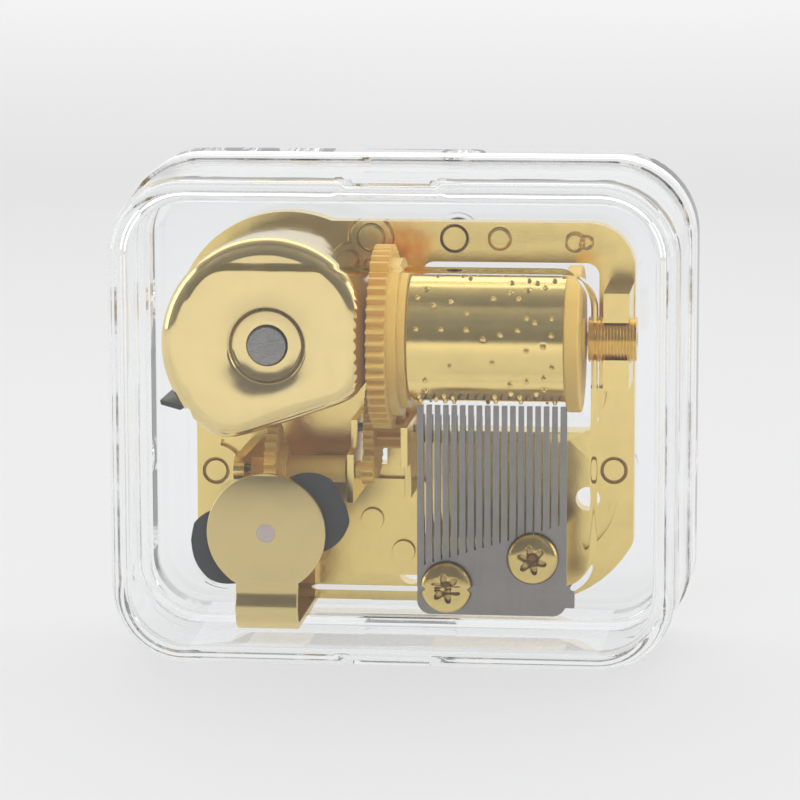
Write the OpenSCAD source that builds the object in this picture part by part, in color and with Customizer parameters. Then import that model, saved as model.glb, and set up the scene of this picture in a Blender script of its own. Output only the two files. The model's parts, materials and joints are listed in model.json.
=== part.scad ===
// Cylinder music box: a wind-up comb-and-cylinder movement in a clear two-part case.
// Frame: X along the cylinder, -Y towards the front of the case, +Z up.
// The origin is on the rest face, at the middle of the case's width and depth.

/* [Case] */
// Width of the case at its front face
case_w = 63; // [60:0.5:66]
// Height of the case at its front face
case_h = 54.2; // [53:0.1:56]
// Depth of the case, front face to back face
case_d = 27; // [27:0.1:29]
// Thickness of the moulded walls
wall = 1.7; // [1.4:0.1:1.8]
// Corner radius seen from the front
corner_r = 8.5; // [7:0.1:9]
// Depth of the back tray
tray_d = 9; // [8:0.1:10]
// How far each side leans out from the front face to the seam
flare = 0.9; // [0.5:0.1:1.2]
// Step from the cover's side to the tray's side at the seam
rim_step = 0.35; // [0.2:0.05:0.5]
// Radius of the outer edges round the front and back faces
edge_r = 1.6; // [1:0.1:2]

/* [Cylinder] */
// Radius of the pinned sleeve
sleeve_r = 7.15; // [6.9:0.05:7.15]
// Height of the playing pins above the sleeve
pin_h = 0.35; // [0.2:0.05:0.35]
// Radius of one playing pin
pin_r = 0.24; // [0.15:0.01:0.3]

/* [Comb] */
// Number of comb teeth
teeth = 18; // [18:1:18]
// Distance between the middles of two comb teeth
tooth_pitch = 0.945; // [0.9:0.005:0.95]
// Thickness of the comb's mounting strip
comb_t = 1.2; // [1:0.1:1.3]

/* [Gear train] */
// Module of the cylinder gear, its pinion and the crown wheel
m_drive = 0.4; // [0.4:0.1:0.4]
// Module of the second wheel and the worm wheel's pinion
m_fine = 0.3; // [0.3:0.1:0.3]
// Teeth of the cylinder gear
z_cyl = 50; // [50:1:50]
// Teeth of the crown wheel
z_crown = 58; // [58:1:58]
// Leaves of the pinion that the cylinder gear drives
z_pinion = 10; // [10:1:10]
// Teeth of the second wheel
z_second = 36; // [36:1:36]
// Leaves of the pinion on the worm wheel's shaft
z_fine = 9; // [9:1:9]
// Teeth of the worm wheel
z_worm = 24; // [24:1:24]

/* [Governor] */
// Radius that the air brake sweeps
brake_r = 9.3; // [8:0.1:9.4]
// Radius of the round cap over the governor
cap_r = 6.7; // [6:0.1:7]

/* [Key] */
// Half the width across the key's wings
key_half_w = 8; // [6:0.5:9]
// How far the key's wings stand behind the case
key_reach = 13; // [12:0.5:16]

/* [Hidden] */

$fn = 48;
eps = 0.01;

// Case
front_y = -case_d / 2;
back_y = case_d / 2;
seam_y = back_y - tray_d;
tray_flare = flare + rim_step;
back_flare = tray_flare + 0.25;
lip_d = 2.5;
lip_t = 1.0;
lip_gap = 0.06;
inner_back_y = back_y - wall;

// Main axes: the housing's axis runs front to back, the cylinder's axis runs left to right
axis_z = 35.7;
spring_x = -14;
cyl_y = -1.1;

// Bedplate
bed_front_y = 7.7;
bed_back_y = 10.6;
bed_skin_t = 0.6;
bed_left = -24.8;
bed_right = 25.9;
bed_top = 47.8;
bed_bottom = 3.6;
flange_r = 13.1;

// Spring housing
house_front_y = -10.4;
house_r = 12;
house_flat = 10.9;
house_t = 0.6;
house_edge_r = 1.9;
house_cut = 8.9;
house_cut_turn = 18.8;
arbor_r = 2.15;
arbor_gap = 0.05;

// Cylinder parts along X
gear_x0 = -2.9;
gear_x1 = -0.8;
sleeve_x0 = 1.2;
sleeve_x1 = 18.9;
cap_x1 = 20.5;
shaft_r = 0.75;
bush_x0 = 21.2;
bush_x1 = 26.6;
bush_r = 2.6;
run_gap = 0.04;

// Comb
comb_front_y = -2.6;
comb_x0 = 1.95;
tooth_t = 0.62;
comb_w = teeth * tooth_pitch - 0.1;
tip_gap = 0.06;
comb_tip_z = axis_z - sleeve_r - pin_h - tip_gap;
comb_foot_z = 4.2;
slot_low_left = 9.9;
slot_low_right = 14.6;
comb_screw_spots = [[5.3, 7.4], [15.05, 10.85]];
comb_screw_head_r = 2.95;
comb_screw_r = 1.25;

// Gear train: wheel A meets the cylinder gear, wheel B carries the worm wheel
mesh_gap = 0.05;
r_cyl = z_cyl * m_drive / 2;
r_pinion = z_pinion * m_drive / 2;
r_second = z_second * m_fine / 2;
r_fine = z_fine * m_fine / 2;
r_worm = z_worm * m_drive / 2;
a_y = 3.5;
a_reach = r_cyl + r_pinion + mesh_gap;
a_z = axis_z - sqrt(pow(a_reach, 2) - pow(a_y - cyl_y, 2));
gov_x = -14.3;
gov_z = 14.5;
worm_axis_gap = 6.1;
b_z = gov_z + worm_axis_gap;
b_reach = r_second + r_fine + mesh_gap;
b_y = a_y - sqrt(pow(b_reach, 2) - pow(a_z - b_z, 2));
angle_cyl_to_a = atan2(a_z - axis_z, a_y - cyl_y);
angle_a_to_b = atan2(b_z - a_z, b_y - a_y);
cyl_tooth_step = 360 / z_cyl;
cyl_back_phase = angle_cyl_to_a - cyl_tooth_step * floor(angle_cyl_to_a / cyl_tooth_step);
second_x0 = -4.3;
second_x1 = -3.05;
pinion_x1 = -0.1;
worm_pitch = PI * m_drive;
worm_y0 = b_y - 2.5 * worm_pitch;
worm_turns = 5;
pin_shaft_r = 0.5;
ear_t = 0.8;
ear_left_x = -5.9;
ear_right_x = 0.2;

// Crown wheel
crown_r = 12.3;
crown_tip_y = cyl_y + r_cyl - 0.34;
crown_root_y = cyl_y + r_cyl + 0.55;

// Governor
cap_front_y = -9.6;
cap_t = 0.9;
brake_y = -8.2;
brake_t = 0.4;
jewel_r = 1.05;
spindle_r = 0.45;
stem_half_w = 3.5;
foot_z = 3.3;

// Mounting posts between the case and the bedplate
post_spots = [[23.6, 19.3], [-22.6, 18.5], [5.2, 45.9]];
post_r = 2.6;
post_screw_r = 1.0;
post_head_r = 2.0;
post_head_t = 1.1;

clear_plastic = [0.9, 0.93, 0.95, 0.35];
gold = [0.85, 0.72, 0.4];
amber = [0.88, 0.66, 0.3];
steel = [0.5, 0.48, 0.46];

// ---------- shared shapes ----------

// Lays a flat outline in the XZ plane from y0 to y1
module plate_y(y0, y1) {
    translate([0, y1, 0]) rotate([90, 0, 0]) linear_extrude(y1 - y0) children();
}

// Lays an outline whose plane is YZ from x0 to x1
module plate_x(x0, x1) {
    translate([x0, 0, 0]) rotate([90, 0, 90]) linear_extrude(x1 - x0) children();
}

module rod_y(x, z, y0, y1, r) {
    translate([x, y1, z]) rotate([90, 0, 0]) cylinder(h = y1 - y0, r = r);
}

module rod_x(y, z, x0, x1, r) {
    translate([x0, y, z]) rotate([0, 90, 0]) cylinder(h = x1 - x0, r = r);
}

module cone_y(x, z, y0, y1, r0, r1) {
    translate([x, y0, z]) rotate([-90, 0, 0]) cylinder(h = y1 - y0, r1 = r0, r2 = r1);
}

module box(x0, x1, y0, y1, z0, z1) {
    translate([x0, y0, z0]) cube([x1 - x0, y1 - y0, z1 - z0]);
}

// Toothed outline: tip and root are the half-widths of a tooth as shares of its pitch
function tooth_ring(z, r_root, r_tip, tip, root) = [
    for (i = [0:z - 1], k = [[-root, r_root], [-tip, r_tip], [tip, r_tip], [root, r_root]])
        let (a = (i + k[0]) * 360 / z) [k[1] * cos(a), k[1] * sin(a)]
];

module gear_2d(z, m, tip = 0.11, root = 0.29) {
    polygon(tooth_ring(z, z * m / 2 - 1.2 * m, z * m / 2 + m, tip, root));
}

// A case section: the outline at the front, spread by s at the sides and the top
module case_section(y, s, inset = 0) {
    w = case_w + 2 * s - 2 * inset;
    h = case_h + s - 2 * inset;
    r = corner_r + s / 2 - inset;
    translate([0, y, inset + h / 2]) rotate([90, 0, 0])
        linear_extrude(eps, center = true) offset(r = r, $fn = 40) square([w - 2 * r, h - 2 * r], center = true);
}

function side_flare(y) = flare * (y - front_y) / (seam_y - front_y);
function tray_side(y) = tray_flare + (back_flare - tray_flare) * (y - seam_y) / tray_d;

// The housing's form, drawn in by inset: a round cup with a rounded rim, flat on its right and lower sides
module house_form(inset, y1) {
    r = house_r - inset;
    e = house_edge_r - inset;
    h = y1 - house_front_y - inset;
    translate([spring_x, house_front_y + inset, axis_z]) difference() {
        rotate([-90, 0, 0]) rotate_extrude($fn = 96)
            polygon(concat([[0, h], [0, 0]],
                [for (t = [0:15:90]) [r - e + e * sin(t), e - e * cos(t)]], [[r, h]]));
        translate([house_flat - inset, -1, -20]) cube([20, h + 2, 40]);
        rotate([0, -house_cut_turn, 0]) translate([-20, -1, -20 - house_cut + inset]) cube([40, h + 2, 20]);
    }
}

// ---------- case ----------

module front_cover() color(clear_plastic) difference() {
    hull() {
        for (t = [0:22.5:90])
            case_section(front_y + edge_r * (1 - cos(90 - t)) + eps / 2, side_flare(front_y), edge_r * (1 - cos(t)));
        case_section(seam_y - eps, flare);
    }
    hull() {
        case_section(front_y + wall, side_flare(front_y), wall + 0.8);
        case_section(front_y + wall + 0.8, side_flare(front_y), wall);
        case_section(seam_y + 1, flare, wall);
    }
}

module case_back() color(clear_plastic) difference() {
    union() {
        difference() {
            union() {
                hull() {
                    case_section(seam_y + eps / 2, tray_side(seam_y));
                    for (t = [0:22.5:90])
                        case_section(back_y - edge_r * (1 - cos(90 - t)) - eps / 2, back_flare, edge_r * (1 - cos(t)));
                }
                hull() {
                    case_section(seam_y - lip_d, flare - 0.15, wall + lip_gap);
                    case_section(seam_y + 1, flare - 0.05, wall + lip_gap);
                }
            }
            hull() {
                case_section(seam_y - lip_d - 1, flare, wall + lip_gap + lip_t);
                case_section(inner_back_y - 0.5, flare, wall + lip_gap + lip_t);
                case_section(inner_back_y, flare, wall + lip_gap + lip_t + 0.5);
            }
        }
        for (s = post_spots) rod_y(s[0], s[1], bed_back_y, inner_back_y + 0.2, post_r);
    }
    for (s = post_spots) {
        rod_y(s[0], s[1], bed_back_y - 1, back_y + 1, post_screw_r + 0.15);
        rod_y(s[0], s[1], back_y - post_head_t - 0.1, back_y + 1, post_head_r + 0.2);
    }
    rod_y(spring_x, axis_z, inner_back_y - 1, back_y + 1, 2.8);
}

module movement_screws() color("silver") for (s = post_spots) difference() {
    union() {
        rod_y(s[0], s[1], bed_back_y - 1.9, back_y - post_head_t, post_screw_r);
        rod_y(s[0], s[1], back_y - post_head_t - 0.1, back_y - 0.1, post_head_r);
    }
    for (turn = [0, 90]) translate([s[0], back_y, s[1]]) rotate([0, turn, 0])
        cube([2.2, 1.2, 0.45], center = true);
}

// ---------- frame of the movement ----------

module bed_outline() offset(r = 1.2) offset(r = -1.2) union() {
    // round flange behind the housing
    translate([spring_x, axis_z]) circle(flange_r, $fn = 96);
    translate([spring_x, 13]) offset(r = 5.4) square([bed_right - 5.4 - spring_x, bed_top - 13 - 5.4]);
    translate([bed_left, 13]) square([bed_right - bed_left, 20]);
    translate([bed_left + 9, bed_bottom + 9]) circle(9);
    translate([bed_left + 9, bed_bottom]) square([bed_right - bed_left - 21, 12]);
    translate([bed_right - 12, bed_bottom + 13.5]) intersection() {
        scale(1) circle(13.5);
        translate([-2, -13.5]) square([14, 20]);
    }
}

module groove(x, z, r, w, a0, a1) {
    translate([x, bed_front_y + 1.1, z]) rotate([90, 0, 0])
        rotate([0, 0, a0]) rotate_extrude(angle = a1 - a0) translate([r, 0]) square([w, 3]);
}

module bearing_block() {
    difference() {
        box(22.9, 25.8, cyl_y - 1.9, bed_front_y + 0.1, axis_z - 5.6, axis_z + 5.4);
        rod_x(cyl_y, axis_z, 22, 27, bush_r);
        box(22, 27, cyl_y - 5, cyl_y, axis_z - 2.1, axis_z + 2.1);
    }
}

module bedplate() color(gold) difference() {
    union() {
        plate_y(bed_front_y, bed_back_y) bed_outline();
        // pedestal under the comb
        box(2.6, 18.2, comb_front_y + comb_t, bed_front_y + 0.1, 4.6, 12.9);
        // post for the worm wheel's left pivot
        box(-18.6, -17.4, b_y - 1.6, bed_front_y + 0.1, b_z - 1.6, b_z + 1.6);
        rod_x(b_y - 1.6, b_z, -18.6, -17.4, 1.6);
        // raised pad round the governor's rear bearing
        rod_y(gov_x, gov_z, bed_front_y - 1.2, bed_front_y + 0.1, 2.6);
        // lug that carries the governor bracket's foot
        box(gov_x - stem_half_w, gov_x + stem_half_w, 5.6, bed_front_y + 0.1, foot_z + 0.9, foot_z + 4.5);
        bearing_block();
        // rib under the cylinder's right end
        translate([16.3, bed_front_y + 0.1, 29]) rotate([90, 0, 0]) rotate([0, 0, -90])
            rotate_extrude(angle = 90) translate([5.2, 0]) square([1.3, 1.3]);
        box(2.4, 16.4, bed_front_y - 1.2, bed_front_y + 0.1, 22.5, 23.8);
        // round bosses along the top bar
        for (b = [[-4.4, 45.9, 1.4], [10.4, 45.9, 1.1], [19, 45.6, 1.2]])
            rod_y(b[0], b[1], bed_front_y - 0.35, bed_front_y + 0.1, b[2]);
    }
    // window behind the cylinder and slot for the cylinder gear
    plate_y(bed_front_y - 3, bed_back_y + 1) offset(r = 1.5)
        translate([2.9, 25.3]) square([17.4, 16.4]);
    plate_y(bed_front_y - 1, bed_back_y + 1) translate([-3.7, 29.2]) square([6, 13]);
    // slot for the second wheel
    plate_y(bed_front_y - 1, bed_back_y + 1) translate([-4.8, a_z - 5]) square([2.2, 9.5]);
    // recess for the crown wheel, open to the back
    rod_y(spring_x, axis_z, bed_front_y + bed_skin_t, bed_back_y + 1, crown_r + 0.25);
    rod_y(spring_x, axis_z, bed_front_y - 1, bed_back_y, arbor_r + 0.06);
    // screw threads
    for (s = comb_screw_spots) rod_y(s[0], s[1], comb_front_y, comb_front_y + 6, comb_screw_r);
    for (s = post_spots) rod_y(s[0], s[1], bed_back_y - 2, bed_back_y + 1, post_screw_r);
    rod_x(b_y, b_z, -19, -17, pin_shaft_r + run_gap);
    // rear bearing of the governor
    rod_y(gov_x, gov_z, bed_front_y - 2, bed_front_y + 0.6, jewel_r);
    // gear bracket screws
    for (s = [[-4.2, 13.3], [-0.6, 9.6]]) rod_y(s[0], s[1], bed_front_y - 1, bed_back_y - 0.6, 0.8);
    // governor rivets
    for (dx = [-2, 2]) translate([gov_x + dx, 6.7, foot_z - 1]) cylinder(h = 4.5, r = 0.7);
    // light holes and moulded grooves
    rod_y(20.6, 15.9, bed_front_y - 1, bed_back_y + 1, 1.4);
    rod_y(0.2, 7, bed_front_y - 1, bed_back_y + 1, 1.5);
    difference() {
        rod_y(23.6, 19.3, bed_front_y - 1, bed_front_y + 0.5, 1.55);
        rod_y(23.6, 19.3, bed_front_y - 1, bed_front_y + 0.6, 1.2);
    }
    difference() {
        rod_y(-22.6, 18.5, bed_front_y - 1, bed_front_y + 0.5, 1.55);
        rod_y(-22.6, 18.5, bed_front_y - 1, bed_front_y + 0.6, 1.2);
    }
    groove(5.2, 45.9, 1.35, 0.3, 0, 360);
    groove(16.2, 16.5, 7.0, 0.8, -58, -8);
    groove(-22.6, 18.5, 3.0, 0.8, -20, 80);
}

module gear_bracket() color(gold) difference() {
    union() {
        plate_y(bed_front_y - 1, bed_front_y) offset(r = 1) translate([-5.9, 7.8]) square([7.1, 9.3]);
        box(ear_left_x, ear_left_x + ear_t, b_y - 1.7, bed_front_y, 17, a_z + 1.4);
        box(ear_right_x, ear_right_x + ear_t, a_y - 7.2, bed_front_y, 17, a_z + 1.2);
    }
    for (s = [[-4.2, 13.3], [-0.6, 9.6]]) rod_y(s[0], s[1], bed_front_y - 2, bed_front_y + 1, 0.85);
    for (x = [ear_left_x, ear_right_x]) rod_x(a_y, a_z, x - 1, x + 2, pin_shaft_r + run_gap);
    rod_x(b_y, b_z, ear_left_x - 1, ear_left_x + 2, pin_shaft_r + run_gap);
    // relieved corners of the two ears
    box(ear_left_x - 1, ear_left_x + 2, b_y - 3, b_y + 2.2, b_z + 2, a_z + 3);
    box(ear_right_x - 1, ear_right_x + 2, a_y - 8, a_y - 3, 16, a_z - 3.4);
}

module bracket_screws() color("darkgoldenrod") for (s = [[-4.2, 13.3], [-0.6, 9.6]]) {
    rod_y(s[0], s[1], bed_front_y - 1.5, bed_front_y - 1, 1.35);
    rod_y(s[0], s[1], bed_front_y - 1.05, bed_back_y - 0.7, 0.8);
}

// ---------- spring, winding and crown wheel ----------

module spring_housing() color(gold) difference() {
    house_form(0, bed_front_y);
    house_form(house_t, bed_front_y + 1);
    // notch that the outer end of the spring hooks into
    translate([spring_x, -9, axis_z]) rotate([0, -39, 0]) translate([-14, 0, -0.8]) cube([4.4, 11, 2.4]);
    rod_y(spring_x, axis_z, house_front_y - 1, house_front_y + 3, arbor_r + arbor_gap);
    rod_x(cyl_y, axis_z, -4.5, -2, shaft_r + run_gap);
    // room for the second wheel
    rod_x(a_y, a_z, second_x0 - 0.3, -2, r_second + m_fine + 0.25);
}

// Flat strip wound from the arbor outwards, with a tail that hooks into the housing's notch
module spring_path() {
    turns = 9;
    steps = turns * 24;
    r0 = 3.0;
    r1 = 7.9;
    t = 0.3;
    inner = [for (i = [0:steps]) let (a = -142 - 360 * turns + i * 15, r = r0 + (r1 - r0) * i / steps)
             [r * cos(a), r * sin(a)]];
    outer = [for (i = [steps:-1:0]) let (a = -142 - 360 * turns + i * 15, r = r0 + (r1 - r0) * i / steps + t)
             [r * cos(a), r * sin(a)]];
    polygon(concat(inner, outer));
    polygon([[-6.35, -4.75], [-6.1, -5.1], [-10.0, -7.6], [-12.2, -7.0], [-12.3, -6.5], [-10.1, -6.9]]);
}

module mainspring() color("dimgray")
    plate_y(-8.4, 1.6) translate([spring_x, axis_z]) spring_path();

module winding_arbor() color("gray") difference() {
    union() {
        rod_y(spring_x, axis_z, house_front_y + 0.25, 8.2, arbor_r);
        rod_y(spring_x, axis_z, -8.6, 2, 2.7);
        rod_y(spring_x, axis_z, 8.1, 12.6, 1.9);
    }
    rod_y(spring_x, axis_z, 8.0, 13, 1.25);
}

module clutch_spring() color("silver") difference() {
    rod_y(spring_x, axis_z, 10.55, 11.05, 5.5);
    rod_y(spring_x, axis_z, 10, 12, 1.9);
    for (a = [0:90:270]) translate([spring_x, 10.8, axis_z]) rotate([0, a, 0])
        translate([3, -1, -0.35]) cube([4, 2, 0.7]);
}

module great_wheel() color(amber) difference() {
    union() {
        difference() {
            rod_y(spring_x, axis_z, crown_root_y, bed_back_y - 0.1, crown_r);
            rod_y(spring_x, axis_z, crown_root_y - 1, crown_root_y + 0.35, crown_r - 2.2);
        }
        rod_y(spring_x, axis_z, bed_front_y + bed_skin_t + 0.1, bed_back_y - 0.1, 4);
        translate([spring_x, 0, axis_z]) for (i = [0:z_crown - 1])
            rotate([0, -(cyl_back_phase * z_cyl / z_crown + (i + 0.5) * 360 / z_crown), 0])
                translate([crown_r - 1.75, crown_root_y + 0.05, 0]) rotate([90, 0, 90])
                    linear_extrude(1.7) polygon([[0, -0.33], [0, 0.33], [-0.84, 0.13], [-0.84, -0.13]]);
    }
    rod_y(spring_x, axis_z, bed_front_y, bed_back_y + 1, 1.9 + run_gap);
    rod_y(spring_x, axis_z, bed_front_y, 8.25, arbor_r + 0.1);
}

module winding_key() color("goldenrod") {
    difference() {
        union() {
            rod_y(spring_x, axis_z, 8.1, back_y + 1, 1.25);
            rod_y(spring_x, axis_z, back_y + 0.3, back_y + 5.5, 2.3);
            translate([spring_x, 0, axis_z - 0.6]) linear_extrude(1.2) difference() {
                offset(r = 2.5) offset(r = -2.5) union() {
                    for (s = [-1, 1]) translate([s * (key_half_w - 4.2), back_y + key_reach - 4.6]) circle(4.2);
                    translate([-2.3, back_y + 2]) square([4.6, key_reach - 5]);
                }
                for (s = [-1, 1]) translate([s * (key_half_w - 4.2), back_y + key_reach - 4.6]) circle(1.9);
            }
        }
    }
}

// ---------- cylinder ----------

// Playing pins: each row of 24 places round the sleeve is sounded by a rule, so that pins scatter
function plays(track, place) = (track * 7 + place * 5 + (place * place * 3 + track * track) % 11) % 17;

module pinned_cylinder() color(gold) difference() {
    union() {
        rod_x(cyl_y, axis_z, sleeve_x0, sleeve_x1, sleeve_r);
        for (track = [0:teeth - 1], place = [0:23]) if (plays(track, place) < 5)
            translate([comb_x0 + (track + 0.45) * tooth_pitch, cyl_y, axis_z])
                rotate([place * 15 + 4 * (track % 3), 0, 0])
                    translate([0, 0, sleeve_r - 0.25]) cylinder(h = 0.25 + pin_h, r = pin_r, $fn = 14);
    }
    rod_x(cyl_y, axis_z, sleeve_x0 - 1, sleeve_x1 + 1, sleeve_r - 0.55);
}

module cylinder_gear() color(amber) translate([0, cyl_y, axis_z]) difference() {
    union() {
        plate_x(gear_x0, gear_x1) rotate(angle_cyl_to_a) gear_2d(z_cyl, m_drive);
        rod_x(0, 0, gear_x1 - 0.1, 0.3, 8.9);
        rod_x(0, 0, 0.2, sleeve_x0, 8.0);
        rod_x(0, 0, sleeve_x0 - 0.1, 4.2, sleeve_r - 0.55);
    }
    rod_x(0, 0, -4, 5, shaft_r);
    rod_x(0, 0, 1.6, 5, sleeve_r - 1.6);
}

module cylinder_end_cap() color(amber) translate([0, cyl_y, axis_z]) difference() {
    union() {
        rod_x(0, 0, sleeve_x1, cap_x1, 8.25);
        rod_x(0, 0, 16.2, sleeve_x1 + 0.1, sleeve_r - 0.55);
        rod_x(0, 0, cap_x1 - 0.1, 20.9, 2.3);
    }
    rod_x(0, 0, 15, 22, shaft_r);
    rod_x(0, 0, 15, 18.3, sleeve_r - 1.6);
}

module cylinder_arbor() color("silver")
    rod_x(cyl_y, axis_z, -3.7, 25.4, shaft_r);

module bearing_bush() color("darkgoldenrod") translate([bush_x0, cyl_y, axis_z]) rotate([0, 90, 0])
    difference() {
        thread_step = 0.36;
        rotate_extrude() polygon(concat([[shaft_r + run_gap, 0]],
            [for (i = [0:14], k = [[bush_r - 0.22, 0], [bush_r, 0.1], [bush_r, 0.18], [bush_r - 0.22, 0.28]])
                [k[0], i * thread_step + k[1]]],
            [[shaft_r + run_gap, bush_x1 - bush_x0]]));
        translate([-3, -0.3, bush_x1 - bush_x0 - 0.7]) cube([6, 0.6, 1]);
    }

// ---------- comb ----------

module comb() color(steel) difference() {
    union() {
        plate_y(comb_front_y, comb_front_y + comb_t) offset(r = 1.6) offset(r = -1.6)
            translate([comb_x0, comb_foot_z]) square([comb_w, slot_low_right - comb_foot_z + 1]);
        plate_y(comb_front_y, comb_front_y + tooth_t)
            translate([comb_x0, slot_low_left - 1]) square([comb_w, comb_tip_z - slot_low_left + 1]);
        box(comb_x0 + comb_w - 3, comb_x0 + comb_w + 0.9, comb_front_y, comb_front_y + comb_t, 5.2, 7.4);
    }
    for (i = [1:teeth - 1]) {
        low = slot_low_left + (slot_low_right - slot_low_left) * (i - 1) / (teeth - 2);
        plate_y(comb_front_y - 1, comb_front_y + comb_t + 1)
            translate([comb_x0 - 0.05 + i * tooth_pitch, 0])
                polygon([[-0.1, low], [0.1, low], [0.17, comb_tip_z + 1], [-0.17, comb_tip_z + 1]]);
    }
    for (s = comb_screw_spots) rod_y(s[0], s[1], comb_front_y - 1, comb_front_y + comb_t + 1, comb_screw_r + 0.15);
}

// Lead weights behind the free ends of the long teeth
module comb_weights() color("dimgray") for (i = [0:8])
    box(comb_x0 + 0.16 + i * tooth_pitch, comb_x0 + 0.68 + i * tooth_pitch,
        comb_front_y + tooth_t, comb_front_y + tooth_t + 2.2 - i * 0.18, comb_tip_z - 4.6, comb_tip_z - 1.4);

module comb_screws() color("darkgoldenrod") for (s = comb_screw_spots) difference() {
    union() {
        translate([s[0], comb_front_y, s[1]]) intersection() {
            translate([0, 2.55, 0]) sphere(comb_screw_head_r + 1.05, $fn = 64);
            rotate([90, 0, 0]) cylinder(h = 2, r = comb_screw_head_r);
        }
        rod_y(s[0], s[1], comb_front_y - 0.1, comb_front_y + 5.5, comb_screw_r);
    }
    for (turn = [20, 80, 140]) translate([s[0], comb_front_y - 1.2, s[1]]) rotate([0, turn, 0])
        cube([3.1, 1.7, 0.8], center = true);
}

// ---------- gear train ----------

module second_wheel() color(amber) translate([0, a_y, a_z]) difference() {
    union() {
        plate_x(second_x0, second_x1) rotate(angle_a_to_b) gear_2d(z_second, m_fine);
        plate_x(second_x1 - 0.1, pinion_x1) rotate(angle_cyl_to_a + 180 + 180 / z_pinion) gear_2d(z_pinion, m_drive);
    }
    rod_x(0, 0, -6, 2, pin_shaft_r);
}

module second_wheel_pin() color("silver") rod_x(a_y, a_z, ear_left_x - 0.2, ear_right_x + ear_t + 0.2, pin_shaft_r);

module worm_wheel() color(amber) translate([0, b_y, b_z]) difference() {
    union() {
        plate_x(second_x0, -2.95) rotate(angle_a_to_b + 180 + 180 / z_fine) gear_2d(z_fine, m_fine);
        rod_x(0, 0, -5.0, second_x0 + 0.1, 0.95);
        rod_x(0, 0, -13.5, -6.1, 1.5);
        plate_x(gov_x - 0.65, gov_x + 0.65) rotate(-90)
            polygon(tooth_ring(z_worm, r_worm - 0.5, r_worm + 0.22, 0.08, 0.2));
        rod_x(0, 0, gov_x + 0.6, gov_x + 1.6, 2.6);
        rod_x(0, 0, -16.9, gov_x, 1.2);
        rod_x(0, 0, -6.2, -4.9, pin_shaft_r);
    }
    rod_x(0, 0, -18, -2, 0.3);
}

module worm_wheel_pin() color("silver") {
    rod_x(b_y, b_z, -19, -17.0, pin_shaft_r);
}

// ---------- governor ----------

module governor_worm() color("silver") {
    translate([gov_x, worm_y0 + worm_turns * worm_pitch, gov_z]) rotate([90, 0, 0])
        linear_extrude(worm_turns * worm_pitch, twist = -360 * worm_turns, slices = 12 * worm_turns)
            translate([0, 0.32]) circle(1.22, $fn = 14);
    rod_y(gov_x, gov_z, cap_front_y + 0.6, bed_front_y + 0.1, spindle_r);
}

module wing_outline() union() {
    for (s = [0, 180]) rotate(s) intersection() {
        circle(brake_r);
        translate([brake_r - 4.2, 0.6]) circle(4.6);
    }
    square([11, 1.8], center = true);
    circle(1.5);
}

module air_brake() color([0.2, 0.2, 0.2]) difference() {
    union() {
        plate_y(brake_y, brake_y + brake_t) translate([gov_x, gov_z]) rotate(17) wing_outline();
        rod_y(gov_x, gov_z, brake_y, brake_y + 1.9, 1.3);
    }
    rod_y(gov_x, gov_z, brake_y - 1, brake_y + 3, spindle_r);
}

module governor_bracket() color(gold) difference() {
    union() {
        rod_y(gov_x, gov_z, cap_front_y, cap_front_y + cap_t, cap_r);
        plate_y(cap_front_y, cap_front_y + cap_t) translate([gov_x - stem_half_w, foot_z])
            square([2 * stem_half_w, gov_z - foot_z]);
        box(gov_x - stem_half_w, gov_x + stem_half_w, cap_front_y, bed_front_y, foot_z, foot_z + 0.9);
    }
    rod_y(gov_x, gov_z, cap_front_y - 1, cap_front_y + cap_t + 1, jewel_r);
    for (dx = [-2, 2]) translate([gov_x + dx, 6.7, foot_z - 1]) cylinder(h = 4, r = 0.7);
}

module governor_rivets() color("darkgoldenrod") for (dx = [-2, 2])
    translate([gov_x + dx, 6.7, 0]) {
        translate([0, 0, foot_z - 0.45]) cylinder(h = 0.45, r = 1.0);
        translate([0, 0, foot_z - 0.05]) cylinder(h = 3, r = 0.7);
    }

module front_jewel() color([0.8, 0.75, 0.72]) difference() {
    rod_y(gov_x, gov_z, cap_front_y - 0.12, cap_front_y + cap_t, jewel_r);
    rod_y(gov_x, gov_z, cap_front_y + 0.5, cap_front_y + 2, spindle_r + run_gap);
}

module rear_jewel() color([0.8, 0.75, 0.72]) difference() {
    rod_y(gov_x, gov_z, bed_front_y - 0.9, bed_front_y + 0.6, jewel_r);
    rod_y(gov_x, gov_z, bed_front_y - 2, bed_front_y + 0.2, spindle_r + run_gap);
}

front_cover();
case_back();
movement_screws();
bedplate();
spring_housing();
mainspring();
winding_arbor();
clutch_spring();
great_wheel();
winding_key();
pinned_cylinder();
cylinder_gear();
cylinder_end_cap();
cylinder_arbor();
bearing_bush();
comb();
comb_weights();
comb_screws();
second_wheel();
second_wheel_pin();
gear_bracket();
bracket_screws();
worm_wheel();
worm_wheel_pin();
governor_worm();
air_brake();
governor_bracket();
governor_rivets();
front_jewel();
rear_jewel();
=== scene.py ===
"""Finishes a wind-up cylinder music box in its clear two-part case.

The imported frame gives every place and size. This file adds smooth mouldings, turned and pressed parts,
their materials and a small white studio round it.
"""

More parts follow.
